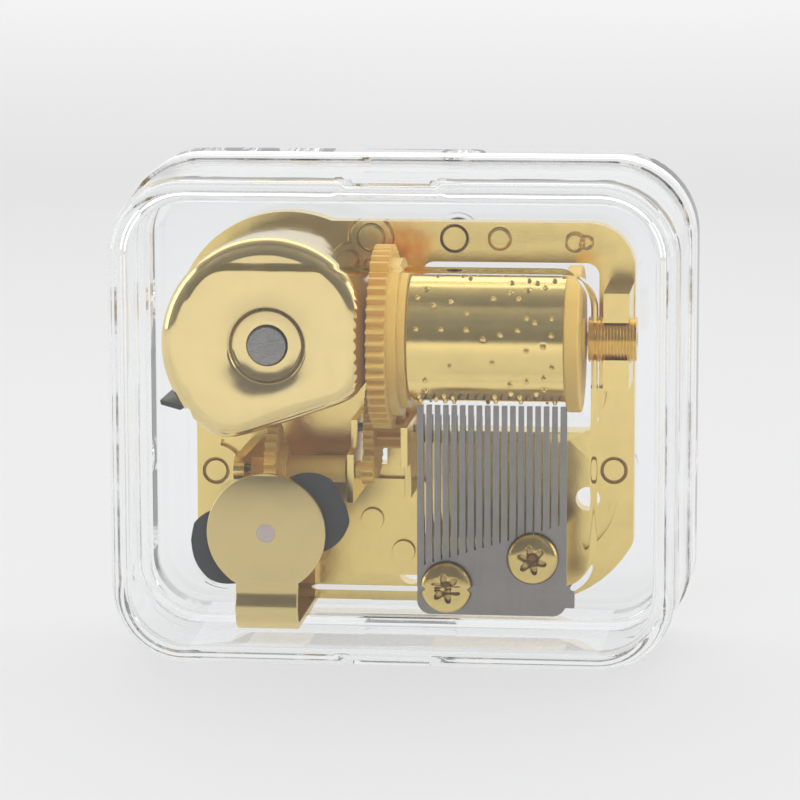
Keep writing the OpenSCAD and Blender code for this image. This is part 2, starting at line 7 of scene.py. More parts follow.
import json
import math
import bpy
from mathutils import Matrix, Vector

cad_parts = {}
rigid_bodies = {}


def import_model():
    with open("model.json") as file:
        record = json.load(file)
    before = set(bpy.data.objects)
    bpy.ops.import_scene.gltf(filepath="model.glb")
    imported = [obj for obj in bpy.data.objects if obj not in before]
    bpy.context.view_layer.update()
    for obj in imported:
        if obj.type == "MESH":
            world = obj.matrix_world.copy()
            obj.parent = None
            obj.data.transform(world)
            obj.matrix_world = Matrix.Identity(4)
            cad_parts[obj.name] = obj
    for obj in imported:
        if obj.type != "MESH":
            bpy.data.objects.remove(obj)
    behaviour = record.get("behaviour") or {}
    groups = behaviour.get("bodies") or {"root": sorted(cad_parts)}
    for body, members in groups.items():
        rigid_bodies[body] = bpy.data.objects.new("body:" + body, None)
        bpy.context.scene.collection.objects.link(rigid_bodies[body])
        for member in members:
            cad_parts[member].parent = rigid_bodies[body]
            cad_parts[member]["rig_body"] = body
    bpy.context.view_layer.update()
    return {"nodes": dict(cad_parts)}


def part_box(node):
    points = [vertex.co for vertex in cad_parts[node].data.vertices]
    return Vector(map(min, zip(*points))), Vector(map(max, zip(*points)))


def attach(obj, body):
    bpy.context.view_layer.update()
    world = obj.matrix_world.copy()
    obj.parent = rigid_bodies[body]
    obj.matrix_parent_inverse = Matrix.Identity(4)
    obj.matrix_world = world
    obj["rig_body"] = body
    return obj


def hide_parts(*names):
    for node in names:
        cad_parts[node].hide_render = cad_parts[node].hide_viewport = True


bl_info = {
    "name": "Cylinder Music Box",
    "version": (1, 0, 0),
    "blender": (4, 5, 0),
    "location": "3D View > Sidebar > Music Box",
    "description": "Smooth parts, finishes and a studio for a comb-and-cylinder music box in a clear case",
    "category": "Add Mesh",
}

import bmesh
import bpy
import numpy as np
from bpy.props import FloatProperty, FloatVectorProperty, PointerProperty
from mathutils import Matrix, Vector

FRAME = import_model()
NODES = FRAME["nodes"]
MM = 0.001
FULL_TURN = 2 * math.pi


def low(node):
    """Lowest corner of a CAD node, in millimetres."""
    return np.array(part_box(node)[0]) / MM


def high(node):
    """Highest corner of a CAD node, in millimetres."""
    return np.array(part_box(node)[1]) / MM


def middle(node):
    """Middle of a CAD node's box, in millimetres."""
    return (low(node) + high(node)) / 2


# ---------- sizes and colours ----------


def length(name, description, default):
    """A size in millimetres."""
    return FloatProperty(name=name, description=description + ", in mm", default=default, precision=2)


def colour(name, description, default):
    """A linear colour."""
    return FloatVectorProperty(name=name, description=description, default=default, subtype="COLOR", size=3,
                               min=0, max=1)


class CaseSizes(bpy.types.PropertyGroup):
    """Sizes of the clear mouldings."""

    wall: length("Wall", "Thickness of the moulded walls", 1.7)
    flare: length("Flare", "How far each side leans out from the front face to the seam", 0.9)
    tray_lean: length("Tray lean", "How far each side of the tray leans out from the seam to the back", 0.25)
    corner: length("Corner", "Corner radius of the front face", 8.5)
    edge: length("Edge", "Radius of the outer edges round the front and back faces", 2.1)
    step: length("Step", "Depth of the panel inside the front wall", 0.16)
    panel_w: length("Panel width", "Half the width of the panel inside the front wall", 22.0)
    panel_h: length("Panel height", "Half the height of the panel inside the front wall", 17.3)
    notch_w: length("Notch width", "Half the length of the notch in each long edge", 5.0)
    notch_d: length("Notch depth", "Depth of the notch in each long edge", 0.5)
    post_r: length("Post", "Radius of the posts that hold the movement", 2.6)


class MovementSizes(bpy.types.PropertyGroup):
    """Sizes of the pressed and turned parts."""

    rim: length("Housing rim", "Radius of the housing's rounded rim", 1.9)
    house_r: length("Housing radius", "Radius of the housing's round side", 12.0)
    house_flat: length("Housing flat", "Distance from the winding axis to the housing's right side", 10.9)
    house_cut: length("Housing cut", "Distance from the winding axis to the housing's lower side", 8.9)
    dish: length("Dish", "Radius of the dish round the winding arbor", 4.4)
    dish_d: length("Dish depth", "Depth of the dish round the winding arbor", 0.75)
    sheet: length("Sheet", "Thickness of the pressed sheet", 0.6)
    sleeve: length("Sleeve", "Radius of the pinned sleeve", 7.15)
    pin_r: length("Pin radius", "Radius of one playing pin", 0.22)
    pin_h: length("Pin height", "Height of one playing pin", 0.34)
    track: length("Track", "Distance between the middles of two comb teeth", 0.945)
    stem: length("Stem", "Half the width of the governor cap's stem", 3.5)
    cap_t: length("Cap", "Thickness of the governor cap", 0.8)
    head_h: length("Head height", "Height of a comb screw's head", 1.45)
    head_r: length("Head radius", "Radius of a comb screw's head", 2.95)
    thread: length("Thread", "Pitch of the bearing bush's thread", 0.36)


class Colours(bpy.types.PropertyGroup):
    """Linear colours of the finishes."""

    gold: colour("Gold", "Plated metal", (0.93, 0.71, 0.26))
    pale_gold: colour("Pale gold", "Polished plating on the housing and the cap", (0.84, 0.66, 0.30))
    amber: colour("Amber", "Moulded gears", (0.98, 0.63, 0.16))
    comb: colour("Comb", "Hardened comb steel", (0.33, 0.31, 0.29))
    steel: colour("Steel", "Shafts", (0.30, 0.29, 0.28))
    dark: colour("Dark", "Blued spring steel", (0.06, 0.065, 0.075))
    fan: colour("Fan", "Moulded air brake", (0.045, 0.047, 0.05))
    jewel: colour("Jewel", "Bearing jewels", (0.72, 0.60, 0.57))
    backdrop: colour("Backdrop", "Floor and backdrop", (0.83, 0.83, 0.835))


# ---------- meshes ----------


def put(name, grids, body, replaces=(), close_v=False, cap=True, sharp=35):
    """Makes a piece from one grid of points or several, in millimetres.

    Rows run along the first axis and each row is a closed ring. Every four neighbours make a face,
    close_v joins the last row to the first, and cap fills the first and last rows.
    """
    grids = grids if isinstance(grids, list) else [grids]
    faces, count = [], 0
    for points in grids:
        rows, columns = points.shape[:2]
        here = np.arange(rows * columns).reshape(rows, columns) + count
        beside = np.roll(here, -1, axis=1)
        below, across = np.roll(here, -1, axis=0), np.roll(beside, -1, axis=0)
        used = slice(None) if close_v else slice(0, rows - 1)
        corners = np.stack([here[used], beside[used], across[used], below[used]], axis=-1)
        faces += corners.reshape(-1, 4).tolist()
        if cap and not close_v:
            faces += [here[0][::-1].tolist(), here[-1].tolist()]
        count += rows * columns
    mesh = bpy.data.meshes.new(name)
    mesh.from_pydata((np.concatenate([points.reshape(-1, 3) for points in grids]) * MM).tolist(), [], faces)
    return place(name, mesh, body, replaces, sharp)


def place(name, mesh, body, replaces=(), sharp=35):
    """Shades a mesh smooth except across sharp edges, and hangs it on its body."""
    face_outwards(mesh)
    mesh.polygons.foreach_set("use_smooth", np.ones(len(mesh.polygons), bool))
    mesh.set_sharp_from_angle(angle=math.radians(sharp))
    piece = bpy.data.objects.new(name, mesh)
    bpy.context.scene.collection.objects.link(piece)
    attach(piece, body)
    if replaces:
        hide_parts(*replaces)
    return piece


def face_outwards(mesh):
    """Turns a closed mesh the right way out: the signed volume of its faces, summed, is positive."""
    corners = np.empty(len(mesh.vertices) * 3)
    mesh.vertices.foreach_get("co", corners)
    mesh.calc_loop_triangles()
    ids = np.empty(len(mesh.loop_triangles) * 3, np.int32)
    mesh.loop_triangles.foreach_get("vertices", ids)
    a, b, c = np.moveaxis(corners.reshape(-1, 3)[ids.reshape(-1, 3)], 1, 0)
    if np.einsum("ij,ij->i", a, np.cross(b, c)).sum() < 0:
        mesh.flip_normals()


def smooth_copy(node, body, finish, bevel=0.0, sharp=32):
    """Makes a welded copy of a CAD node with smooth round faces and small rounded edges."""
    work = bmesh.new()
    work.from_mesh(NODES[node].data)
    bmesh.ops.remove_doubles(work, verts=work.verts, dist=2e-6)
    bmesh.ops.dissolve_limit(work, angle_limit=math.radians(0.5), verts=work.verts, edges=work.edges)
    mesh = bpy.data.meshes.new(node + "_finished")
    work.to_mesh(mesh)
    work.free()
    piece = place(node + "_finished", mesh, body, (node,), sharp)
    dress(piece, finish)
    if bevel:
        rounding = piece.modifiers.new("Rounded edges", "BEVEL")
        rounding.width = bevel * MM
        rounding.segments = 2
        rounding.limit_method = "ANGLE"
        rounding.angle_limit = math.radians(sharp)
        rounding.harden_normals = True


def ease(x):
    """Smooth step from 0 to 1."""
    x = np.clip(x, 0, 1)
    return x * x * (3 - 2 * x)


def arc(first, last, steps):
    """Angles in radians from first to last, given in degrees."""
    return np.radians(np.linspace(first, last, steps))


def turned(profile, centre, axis, columns=96):
    """Turns a profile of (radius, distance along the axis) rows round an axis through centre.

    The point at angle a lies radius * (cos a, sin a) off the axis.
    """
    a = np.linspace(0, FULL_TURN, columns, endpoint=False)
    radius, along = np.array(profile, float).T[:, :, None]
    first, second = radius * np.cos(a), radius * np.sin(a)
    along = along + 0 * first
    parts = {"X": (along, first, second), "Y": (second, along, first)}[axis]
    return np.stack(parts, axis=-1) + np.array(centre)


# ---------- finishes ----------


class Wire:
    """A shader socket. Arithmetic on it adds Math nodes."""

    def __init__(self, nodes, socket):
        self.nodes, self.socket = nodes, socket

    def maths(self, operation, *values):
        """Adds one Math node."""
        return self.nodes.node("ShaderNodeMath", {"operation": operation}, *values)

    def __add__(self, other):
        return self.maths("ADD", self, other)

    def __sub__(self, other):
        return self.maths("SUBTRACT", self, other)

    def __rsub__(self, other):
        return self.maths("SUBTRACT", other, self)

    def __mul__(self, other):
        return self.maths("MULTIPLY", self, other)

    def __abs__(self):
        return self.maths("ABSOLUTE", self)

    __radd__ = __add__
    __rmul__ = __mul__


class Nodes:
    """The nodes of one material or world."""

    def __init__(self, tree):
        self.tree = tree

    def node(self, kind, settings=None, *values, out=0, **named):
        """Adds a node: its settings first, then the values or wires of its sockets."""
        node = self.tree.nodes.new(kind)
        for key, value in (settings or {}).items():
            setattr(node, key, value)
        for key, value in list(enumerate(values)) + list(named.items()):
            self.feed(node.inputs[key], value)
        return Wire(self, node.outputs[out])

    def feed(self, socket, value):
        """Gives a socket a value, or joins a wire to it."""
        if isinstance(value, Wire):
            self.tree.links.new(value.socket, socket)
        else:
            socket.default_value = value


class Finish(Nodes):
    """A procedural material. Its pattern coordinates are the piece's own, in millimetres."""

    def __init__(self, name, **constants):
        self.material = bpy.data.materials.new(name)
        self.material.use_nodes = True
        super().__init__(self.material.node_tree)
        self.shader = self.tree.nodes["Principled BSDF"]
        for socket, value in constants.items():
            self.shader.inputs[socket.replace("_", " ")].default_value = value
        spot = self.node("ShaderNodeTexCoord", out="Object")
        self.spot = self.node("ShaderNodeVectorMath", {"operation": "SCALE"}, Vector=spot, Scale=1 / MM)

    def noise(self, scale, detail=3.0, stretch=(1, 1, 1), roughness=0.5):
        """Cloudy noise with scale features per millimetre, drawn out along the axes with a small stretch."""
        spot = self.node("ShaderNodeVectorMath", {"operation": "MULTIPLY"}, self.spot, stretch)
        return self.node("ShaderNodeTexNoise", None, Vector=spot, Scale=scale, Detail=detail,
                         Roughness=roughness)

    def mix(self, factor, first, second):
        """Blends two colours."""
        node = self.tree.nodes.new("ShaderNodeMix")
        node.data_type = "RGBA"
        for key, value in ((0, factor), (6, first), (7, second)):
            self.feed(node.inputs[key], value)
        return Wire(self, node.outputs[2])

    def ramp(self, value, start, end):
        """Maps start..end to 0..1 without running past either end."""
        return self.node("ShaderNodeMapRange", None, value, start, end, 0.0, 1.0)

    def bump(self, height, depth):
        """Raises the surface by height times depth millimetres."""
        bump = self.node("ShaderNodeBump", None, Strength=1.0, Distance=depth * MM, Height=height)
        self.feed(self.shader.inputs["Normal"], bump)

    def set(self, **wires):
        """Feeds the shader's sockets, named with _ for a space."""
        for socket, wire in wires.items():
            self.feed(self.shader.inputs[socket.replace("_", " ")], wire)


def shade(rgb, factor=1.0):
    """A colour made lighter or darker, with full alpha."""
    return tuple(min(1, c * factor) for c in rgb) + (1.0,)


def dress(piece, finish):
    """Gives every face of a piece one finish."""
    piece.data.materials.clear()
    piece.data.materials.append(finish.material)


def plated(name, rgb, rough, grain=0.0, grain_scale=6.0, cloud=0.25, wave=0.0):
    """Plated metal: cloudy colour and gloss, fine grain and a slow wave from pressing."""
    finish = Finish(name, Metallic=1.0)
    clouds = finish.noise(0.35, 4)
    specks = finish.noise(9, 2)
    tone = finish.mix(clouds, shade(rgb, 0.90), shade(rgb, 1.06))
    tone = finish.mix(finish.ramp(specks, 0.70, 0.78) * cloud, tone, shade(rgb, 0.5))
    finish.set(Base_Color=tone, Roughness=finish.ramp(clouds, 0.2, 0.8) * 0.08 + rough)
    height = finish.noise(grain_scale, 3) * grain + finish.noise(0.28, 1) * wave
    finish.bump(height, 1.0)
    return finish


def moulded(name, rgb, rough, through=0.0):
    """Moulded plastic: faint flow marks, soft gloss and some light carried through it."""
    finish = Finish(name, Subsurface_Weight=through, Subsurface_Scale=1.2 * MM, IOR=1.46)
    flow = finish.noise(0.5, 4)
    finish.set(Base_Color=finish.mix(flow, shade(rgb, 0.88), shade(rgb, 1.1)),
               Roughness=finish.ramp(finish.noise(3, 2), 0.2, 0.8) * 0.12 + rough)
    finish.bump(finish.noise(5, 3), 0.01)
    return finish


def brushed(name, rgb, rough, stretch, depth=0.012):
    """Ground steel: scratches drawn out along one axis, with faint cloudy staining."""
    finish = Finish(name, Metallic=1.0)
    lines = finish.noise(9, 3, stretch)
    stain = finish.noise(0.4, 4)
    tone = finish.mix(lines, shade(rgb, 0.8), shade(rgb, 1.2))
    finish.set(Base_Color=finish.mix(finish.ramp(stain, 0.45, 0.8) * 0.35, tone, shade(rgb, 0.65)),
               Roughness=finish.ramp(lines, 0.2, 0.8) * 0.14 + rough)
    finish.bump(lines, depth)
    return finish


def clear_plastic(name):
    """Clear moulded plastic with slow flow waves. The lamps' light passes through it to the parts inside."""
    finish = Finish(name, Transmission_Weight=1.0, Roughness=0.0, IOR=1.46)
    flow = finish.noise(0.09, 1)
    finish.set(Base_Color=finish.mix(flow, (0.975, 0.985, 0.985, 1), (0.995, 0.998, 1.0, 1)))
    finish.bump(finish.noise(0.12, 0), 0.02)
    passing = finish.node("ShaderNodeBsdfTransparent", None, (0.93, 0.94, 0.94, 1))
    shadow = finish.node("ShaderNodeLightPath", out="Is Shadow Ray")
    mixed = finish.node("ShaderNodeMixShader", None, shadow, Wire(finish, finish.shader.outputs[0]), passing)
    finish.feed(finish.tree.nodes["Material Output"].inputs["Surface"], mixed)
    return finish


# ---------- shapes of the case ----------

CORNER_STEPS = 14
LONG_STEPS = 60
SHORT_STEPS = 8


def ring_spots():
    """Places round a rounded rectangle: how far each lies along the sides, and which way its corner turns.

    Goes anticlockwise from the right side's lower end, seen from the front. Both parts run from -1 to 1.
    """
    spots = []
    for k, (sx, sz, steps) in enumerate(((1, 1, LONG_STEPS), (-1, 1, SHORT_STEPS), (-1, -1, LONG_STEPS),
                                         (1, -1, SHORT_STEPS))):
        a = arc(90 * k, 90 * k + 90, CORNER_STEPS)
        spots.append(np.stack([0 * a + sx, 0 * a + sz, np.cos(a), np.sin(a)], axis=1))
        t = np.linspace(1, -1, steps + 2)[1:-1]
        ex, ez = round(math.cos(math.radians(90 * k + 90))), round(math.sin(math.radians(90 * k + 90)))
        spots.append(np.stack([t * sx if ex == 0 else 0 * t + ex, t * sz if ez == 0 else 0 * t + ez,
                               0 * t + ex, 0 * t + ez], axis=1))
    return np.concatenate(spots)


SPOTS = ring_spots()


def ring(half_w, half_h, corner, mid_z, y):
    """One rounded rectangle at depth y: straight sides meet quarter circles of the corner radius."""
    x = SPOTS[:, 0] * (half_w - corner) + SPOTS[:, 2] * corner
    z = SPOTS[:, 1] * (half_h - corner) + SPOTS[:, 3] * corner + mid_z
    return np.stack([x, y + 0 * x, z], axis=1)


class Case:
    """The case's sections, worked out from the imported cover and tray."""

    def __init__(self, sizes):
        self.sizes = sizes
        cover_low, cover_high, tray_high = low("front_cover"), high("front_cover"), high("case_back")
        self.front, self.seam, self.back = cover_low[1], cover_high[1], tray_high[1]
        self.half_w = cover_high[0] - sizes.flare
        self.height = cover_high[2] - sizes.flare
        self.tray_out = tray_high[0] - self.half_w

    def section(self, y, spread, inset, notch=0.0):
        """The outline at depth y, spread at its sides and top and drawn in by inset. It stands on the floor.

        A notch draws the middle of each long side in by a smooth step.
        """
        sizes = self.sizes
        height = self.height + spread
        points = ring(self.half_w + spread - inset, height / 2 - inset, sizes.corner + spread / 2 - inset,
                      height / 2, y)
        middle_part = ease((sizes.notch_w + 0.5 - abs(points[:, 0])) / 0.5) * (abs(SPOTS[:, 3]) == 1)
        points[:, 2] -= notch * sizes.notch_d * middle_part * np.sign(SPOTS[:, 3])
        points[:, 1] += 0.4 * notch * sizes.notch_d * middle_part * np.sign(self.seam - y)
        return points

    def lean(self, y):
        """Spread of the cover's side at depth y: it grows evenly to the seam."""
        return self.sizes.flare * (y - self.front) / (self.seam - self.front)

    def edge(self, face, inward, spread):
        """Rings round a face's outer edge: a quarter circle from the face to the side."""
        e = self.sizes.edge
        return [self.section(face + inward * e * (1 - math.cos(t)), spread, e * (1 - math.sin(t)),
                             float(ease((t - 0.25) / 0.3))) for t in arc(0, 90, 13)]

    def panel(self, y, out):
        """The panel's outline inside the front wall, out millimetres outside its own size."""
        sizes = self.sizes
        return ring(sizes.panel_w + out, sizes.panel_h + out, 3.6 + out, self.height / 2 - 0.3, y)

    def cover(self):
        """The cover from its front face, round its edge, back to the seam, and inside to the front."""
        sizes, wall = self.sizes, self.sizes.wall
        inner = self.front + wall
        side = [self.section(y, self.lean(y), 0)
                for y in np.linspace(self.front + sizes.edge + 0.3, self.seam, 8)]
        back_in = [self.section(y, self.lean(y), wall) for y in np.linspace(self.seam, inner + 0.8, 8)]
        fillet = [self.section(inner + 0.8 * (1 - math.sin(t)), 0, wall + 0.8 * (1 - math.cos(t)))
                  for t in arc(10, 90, 6)]
        step = [self.panel(inner - sizes.step * ease(t), 0.9 * (1 - t)) for t in np.linspace(0, 1, 9)]
        return np.array(self.edge(self.front, 1, 0)[:-1] + side + back_in + fillet + step)

    def tray(self):
        """The tray from its back face, round its edge to the seam, over the lip and inside to the back."""
        sizes = self.sizes
        lip_out = sizes.wall + 0.06
        lip_in = lip_out + 1.0
        tray_in = self.tray_out - sizes.tray_lean
        inner_back = self.back - sizes.wall
        depths = np.linspace(self.back - sizes.edge - 0.3, self.seam + 0.25, 6)
        side = [self.section(y, s, 0) for y, s in zip(depths, np.linspace(self.tray_out, tray_in, 6))]
        gap = self.seam + 0.08
        rim = [self.section(gap + 0.05, tray_in - 0.06, 0), self.section(gap, tray_in - 0.2, 0),
               self.section(gap, sizes.flare, lip_out)]
        lip = [self.section(y, self.lean(y), lip_out)
               for y in np.linspace(self.seam - 0.1, self.seam - 2.4, 4)]
        lip += [self.section(self.seam - 2.5, sizes.flare, lip_out + 0.15),
                self.section(self.seam - 2.5, sizes.flare, lip_in - 0.15)]
        fillet_r = 0.8
        inside = [self.section(y, sizes.flare, lip_in)
                  for y in np.linspace(self.seam - 2.35, inner_back - fillet_r, 8)]
        fillet = [self.section(inner_back - fillet_r * (1 - math.sin(t)), sizes.flare,
                               lip_in + fillet_r * (1 - math.cos(t)))
                  for t in arc(10, 90, 6)]
        return np.array(self.edge(self.back, -1, self.tray_out)[:-1] + side + rim + lip + inside + fillet)


class MUSICBOX_OT_case(bpy.types.Operator):
    """Adds the clear cover and tray, with the posts that hold the movement"""

    bl_idname = "musicbox.case"
    bl_label = "Clear case"

    def execute(self, context):
        sizes = context.scene.case_sizes
        case = Case(sizes)
        plastic = clear_plastic("Clear moulding")
        cover = put("clear_cover", case.cover(), "cover", ("front_cover",))
        dress(cover, plastic)
        tray = put("clear_tray", case.tray(), "frame", ("case_back",))
        dress(tray, plastic)
        spots = screw_spots()
        arbor = middle("winding_arbor")
        inner_back, bed_back = case.back - sizes.wall, high("bedplate")[1]
        for x, z in spots:
            post = [(sizes.post_r, bed_back), (sizes.post_r, inner_back + 0.6)]
            combine(tray, turned(post, (x, 0, z), "Y", 64), "UNION")
        bores = [turned([(1.15, bed_back - 1), (1.15, case.back + 1)], (x, 0, z), "Y", 48)
                 for x, z in spots]
        bores += [turned([(2.2, case.back - 1.2), (2.2, case.back + 1)], (x, 0, z), "Y", 48)
                  for x, z in spots]
        bores.append(turned([(2.8, inner_back - 1), (2.8, case.back + 1)], (arbor[0], 0, arbor[2]), "Y", 64))
        for points in bores:
            combine(tray, points, "DIFFERENCE")
        for piece in (cover, tray):
            flats = piece.modifiers.new("Flat faces", "WEIGHTED_NORMAL")
            flats.weight, flats.keep_sharp = 100, True
        return {"FINISHED"}


def screw_spots():
    """Middles (x, z) of the screws that hold the movement, found from the separate parts of their node."""
    work = bmesh.new()
    work.from_mesh(NODES["movement_screws"].data)
    bmesh.ops.remove_doubles(work, verts=work.verts, dist=2e-6)
    unseen, spots = set(work.verts), []
    while unseen:
        part, edge = set(), [unseen.pop()]
        while edge:
            vert = edge.pop()
            part.add(vert)
            edge += [e.other_vert(vert) for e in vert.link_edges if e.other_vert(vert) in unseen]
            unseen -= set(edge)
        where = np.array([v.co for v in part]) / MM
        spots.append(tuple(((where.min(0) + where.max(0)) / 2)[[0, 2]]))
    work.free()
    return sorted(spots)


def combine(piece, points, operation):
    """Joins a closed grid to a piece or cuts it out, and keeps the result in the piece's mesh."""
    cutter = put("cutter", points, "frame")
    cut = piece.modifiers.new("Combined", "BOOLEAN")
    cut.operation, cut.solver, cut.object = operation, "EXACT", cutter
    bpy.context.view_layer.update()
    mesh = bpy.data.meshes.new_from_object(piece.evaluated_get(bpy.context.evaluated_depsgraph_get()))
    piece.modifiers.clear()
    mesh.polygons.foreach_set("use_smooth", np.ones(len(mesh.polygons), bool))
    mesh.set_sharp_from_angle(angle=math.radians(35))
    old, piece.data = piece.data, mesh
    bpy.data.meshes.remove(old)
    bpy.data.meshes.remove(cutter.data)


# ---------- shapes of the movement ----------


def housing_outline(sizes, columns=288):
    """Radius of the housing at each angle, and the angles: a circle cut by two flats, with rounded corners.

    The corners come from a power mean of the three distances, which follows the smallest of them.
    """
    a = np.linspace(0, FULL_TURN, columns, endpoint=False)
    lower = math.radians(-71.2)
    power = 15
    total = np.full_like(a, sizes.house_r ** -power)
    for reach, turn in ((sizes.house_flat, 0.0), (sizes.house_cut, lower)):
        total += (np.maximum(np.cos(a - turn), 0.02) / reach) ** power
    return a, total ** (-1 / power)


def housing(sizes):
    """The pressed spring housing: a dish round the arbor, a flat face, a rounded rim and a straight side.

    Each row is (share of the outline's radius, radius added to it, depth), first outside and then inside.
    """
    a, outline = housing_outline(sizes)
    centre = middle("winding_arbor")
    face, bed, t = low("spring_housing")[1], high("spring_housing")[1], sizes.sheet
    rim, dish, deep = sizes.rim, sizes.dish, sizes.dish_d
    rows = [(0, 2.25, face + deep + 0.1), (0, 2.35, face + deep)]
    rows += [(0, dish - 0.75 + 0.9 * k, face + deep * (1 - ease(k))) for k in np.linspace(0, 1, 10)]
    rows += [(0.5, dish / 2 - 0.5, face), (1, -rim - 0.02, face)]
    rows += [(1, -rim * (1 - math.sin(k)), face + rim * (1 - math.cos(k))) for k in arc(4, 90, 16)]
    rows += [(1, 0, y) for y in np.linspace(face + rim + 0.6, bed, 8)]
    rows += [(1, -t, y) for y in np.linspace(bed, face + rim + 0.6, 4)]
    rows += [(1, -t - (rim - t) * (1 - math.sin(k)), face + t + (rim - t) * (1 - math.cos(k)))
             for k in arc(90, 4, 8)]
    rows += [(0, dish + 0.5 - 0.9 * k, face + t + deep * ease(k)) for k in np.linspace(0, 1, 6)]
    rows += [(0, 2.35, face + t + deep), (0, 2.25, face + t + deep - 0.1)]
    share, added, depth = np.array(rows).T[:, :, None]
    radius = share * outline + added
    x, z = centre[0] + radius * np.cos(a), centre[2] + radius * np.sin(a)
    return np.stack([x, depth + 0 * radius, z], axis=-1)


def pin_spots(sizes):
    """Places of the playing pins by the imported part's rule: distance along the comb, and angle."""
    tracks, places = np.meshgrid(np.arange(18), np.arange(24), indexing="ij")
    sounded = (tracks * 7 + places * 5 + (places * places * 3 + tracks * tracks) % 11) % 17 < 5
    track, spot = tracks[sounded], places[sounded]
    return low("comb")[0] + (track + 0.45) * sizes.track, np.radians(spot * 15 + 4 * (track % 3))


def sleeve(sizes):
    """The pinned sleeve: a tube whose outer wall rises in a dome at each pin and dips in a ring round it."""
    columns, rows = 480, 178
    start, end = low("pinned_cylinder")[0], high("pinned_cylinder")[0]
    centre = middle("cylinder_arbor")
    a = np.linspace(0, FULL_TURN, columns, endpoint=False)
    along = np.linspace(start, end, rows)
    height = np.zeros((rows, columns))
    for x, turn in zip(*pin_spots(sizes)):
        round_it = (a - turn + math.pi) % FULL_TURN - math.pi
        off = np.hypot(along[:, None] - x, round_it[None, :] * sizes.sleeve) / sizes.pin_r
        dome = np.sqrt(np.clip(1 - (off / 1.15) ** 4, 0, 1)) * sizes.pin_h
        dip = -0.025 * np.exp(-((off - 1.6) / 0.35) ** 2)
        height = np.where(off < 1.15, dome, height + dip)
    radius = sizes.sleeve + height
    for k, row in ((0, -0.12), (1, 0.0)):
        radius[k] = radius[-1 - k] = sizes.sleeve + row
    inner = np.full((2, columns), sizes.sleeve - 0.55)
    radius = np.concatenate([radius, inner])
    along = np.concatenate([along, [end, start]])[:, None] + 0 * radius
    # angle 0 points up and turns towards the front
    return np.stack([along, centre[1] - radius * np.sin(a), centre[2] + radius * np.cos(a)], axis=-1)


def bush(sizes):
    """The bearing bush: a threaded tube. Its radius is a triangle wave of distance along it less angle."""
    start, end = low("bearing_bush")[0], high("bearing_bush")[0]
    outer = (high("bearing_bush")[2] - low("bearing_bush")[2]) / 2
    centre = middle("cylinder_arbor")
    a = np.linspace(0, FULL_TURN, 96, endpoint=False)
    along = np.linspace(start, end, int((end - start) / sizes.thread * 9))[:, None]
    wave = np.abs(((along / sizes.thread - a / FULL_TURN) % 1) * 2 - 1)
    radius = outer - 0.26 * ease(wave)
    ends = np.full((1, len(a)), 0.8)
    radius = np.concatenate([ends, radius, ends])
    along = np.concatenate([[[start]], along, [[end]]]) + 0 * radius
    return np.stack([along, centre[1] + radius * np.cos(a), centre[2] + radius * np.sin(a)], axis=-1)


def comb_screw(sizes, x, z):
    """A pan-head screw: a superellipse dome with a six-pointed recess, a straight edge and a plain shank."""
    radius, face = sizes.head_r, low("comb")[1]
    a = np.linspace(0, FULL_TURN, 120, endpoint=False)
    r = np.concatenate([np.linspace(0.02, 2.1, 40), np.linspace(2.15, radius, 16)])[:, None]
    dome = (1 - (r / (radius + 0.02)) ** 3.0) ** 0.5 * (sizes.head_h - 0.25) + 0.25
    star = 1.22 + 0.42 * np.cos(6 * (a + 0.3))
    recess = ease((star - r) / 0.22 + 0.5) * (0.75 + 0.35 * ease((0.9 - r) / 0.6))
    rise = dome - recess
    rows = [(radius, 0.0), (1.25, 0.0), (1.25, -5.4)]
    radii = np.concatenate([r + 0 * a] + [np.full((1, len(a)), row[0]) for row in rows])
    rise = np.concatenate([rise] + [np.full((1, len(a)), row[1]) for row in rows])
    return np.stack([x + radii * np.cos(a), face - rise, z + radii * np.sin(a)], axis=-1)


def governor_cap(sizes):
    """The governor's cap, stem and foot: one strip, a thin rounded bar carried along a bent path.

    The half-width follows a circle at the cap and grows into the stem, by a power mean of the two.
    """
    centre = middle("front_jewel")
    face, bottom = low("governor_bracket")[1], low("governor_bracket")[2]
    radius = high("governor_bracket")[2] - centre[2]
    back, t, bend = high("governor_bracket")[1], sizes.cap_t, 1.5
    a = arc(3, 148, 56)
    z = centre[2] + radius * np.cos(a)
    disc = radius * np.sin(a)
    width = np.where(a < math.pi / 2, disc, (disc ** 14 + (sizes.stem ** 14)) ** (1 / 14))
    path = [(face + t / 2, h, w, 0.0) for h, w in zip(z, width)]
    lower = np.linspace(z[-1] - 0.3, bottom + t / 2 + bend, 14)
    sway = np.sin(np.linspace(0, 2 * math.pi, 14)) * 0.28
    path += [(face + t / 2 + s, h, sizes.stem, 0.0) for h, s in zip(lower, sway)]
    path += [(face + t / 2 + bend * (1 - math.cos(k)), bottom + t / 2 + bend * (1 - math.sin(k)),
              sizes.stem, k) for k in arc(8, 90, 9)]
    path += [(y, bottom + t / 2, sizes.stem, math.pi / 2) for y in np.linspace(face + t + bend, back, 8)]
    edge = 0.16
    corners = ((1, 1, 0), (-1, 1, 90), (-1, -1, 180), (1, -1, 270))
    section = np.array([(sx, st, math.cos(k), math.sin(k)) for sx, st, first in corners
                        for k in arc(first, first + 90, 5)])
    y, h, width, turn = np.array(path).T[:, :, None]
    across = section[:, 0] * (width - edge) + section[:, 2] * edge
    thick = section[:, 1] * (t / 2 - edge) + section[:, 3] * edge
    return np.stack([centre[0] + across, y - thick * np.cos(turn), h - thick * np.sin(turn)], axis=-1)


